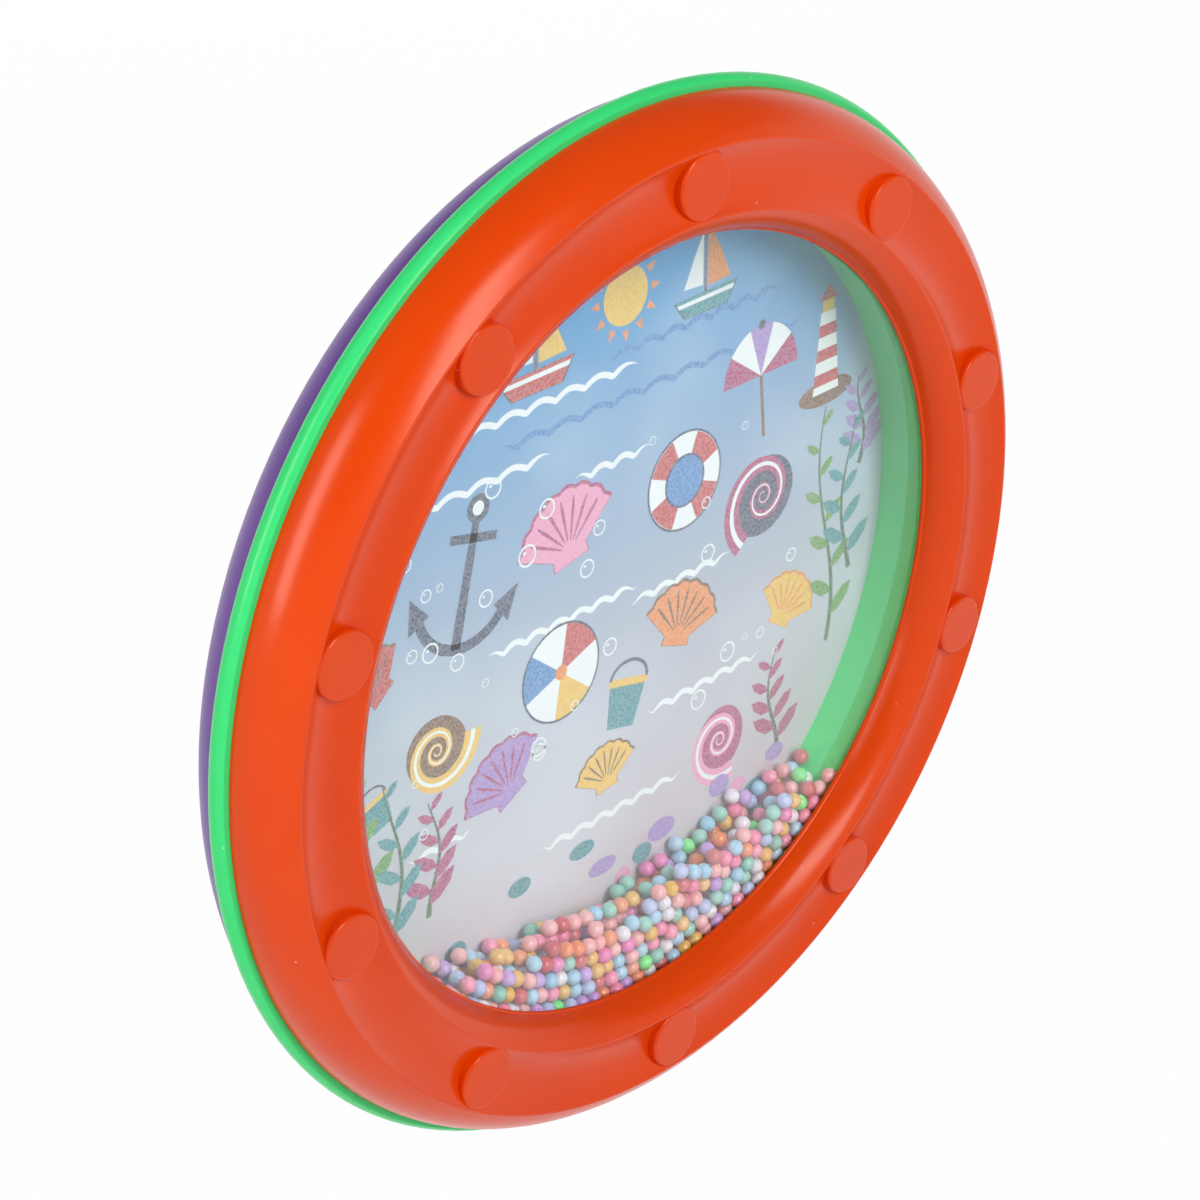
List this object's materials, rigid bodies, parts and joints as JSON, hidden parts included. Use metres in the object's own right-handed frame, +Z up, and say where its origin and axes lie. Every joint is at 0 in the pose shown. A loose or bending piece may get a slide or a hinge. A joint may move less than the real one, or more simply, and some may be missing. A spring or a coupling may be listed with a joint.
{
  "type": "ocean drum",
  "caption": "Round hand-held ocean drum: two moulded rims on a hoop, a clear head in front, a printed head behind, and loose coloured beads that hiss between them.",
  "frame": {"origin": "middle of the drum: on its axis, halfway across the band between the two rims", "axes": "+Z up with the drum standing on its round edge, +Y along the drum's axis from the clear front head to the printed rear head, +X to the right seen from the front"},
  "size_m": [0.2524, 0.03, 0.2524],
  "materials": {
    "orange_plastic": "moulded, glossy",
    "purple_plastic": "moulded, glossy",
    "green_plastic": "moulded, glossy",
    "clear_film": "clear, glossy",
    "printed_sheet": "printed, satin",
    "screw_steel": "zinc plated",
    "pink_bead": "glossy",
    "sky_blue_bead": "glossy",
    "lilac_bead": "glossy",
    "peach_bead": "glossy",
    "periwinkle_bead": "glossy",
    "aqua_bead": "glossy",
    "white_bead": "glossy",
    "orange_bead": "glossy",
    "amber_bead": "glossy",
    "red_bead": "glossy",
    "magenta_bead": "glossy",
    "mint_bead": "glossy"
  },
  "bodies": {
    "drum": {"front_rim": "orange_plastic", "rear_rim": "purple_plastic", "drum_hoop": "green_plastic", "front_head": "clear_film", "rear_head": "printed_sheet", "rim_screws": "screw_steel"},
    "bead_stream_front": {"pink_beads_front": "pink_bead", "sky_blue_beads_front": "sky_blue_bead", "lilac_beads_front": "lilac_bead", "peach_beads_front": "peach_bead", "periwinkle_beads_front": "periwinkle_bead", "aqua_beads_front": "aqua_bead", "white_beads_front": "white_bead", "orange_beads_front": "orange_bead", "amber_beads_front": "amber_bead", "red_beads_front": "red_bead", "magenta_beads_front": "magenta_bead", "mint_beads_front": "mint_bead"},
    "bead_stream_middle": {"pink_beads_middle": "pink_bead", "sky_blue_beads_middle": "sky_blue_bead", "lilac_beads_middle": "lilac_bead", "peach_beads_middle": "peach_bead", "periwinkle_beads_middle": "periwinkle_bead", "aqua_beads_middle": "aqua_bead", "white_beads_middle": "white_bead", "orange_beads_middle": "orange_bead", "amber_beads_middle": "amber_bead", "red_beads_middle": "red_bead", "magenta_beads_middle": "magenta_bead", "mint_beads_middle": "mint_bead"},
    "bead_stream_rear": {"pink_beads_rear": "pink_bead", "sky_blue_beads_rear": "sky_blue_bead", "lilac_beads_rear": "lilac_bead", "peach_beads_rear": "peach_bead", "periwinkle_beads_rear": "periwinkle_bead", "aqua_beads_rear": "aqua_bead", "white_beads_rear": "white_bead", "orange_beads_rear": "orange_bead", "amber_beads_rear": "amber_bead", "red_beads_rear": "red_bead", "magenta_beads_rear": "magenta_bead", "mint_beads_rear": "mint_bead"}
  },
  "joints": [
    {"name": "front_stream_slide_round", "type": "hinge", "parent": "drum", "child": "bead_stream_front", "pos_m": [0, 0, 0], "axis": [0, 1, 0], "continuous": true},
    {"name": "middle_stream_slide_round", "type": "hinge", "parent": "drum", "child": "bead_stream_middle", "pos_m": [0, 0, 0], "axis": [0, 1, 0], "continuous": true},
    {"name": "rear_stream_slide_round", "type": "hinge", "parent": "drum", "child": "bead_stream_rear", "pos_m": [0, 0, 0], "axis": [0, 1, 0], "continuous": true}
  ]
}
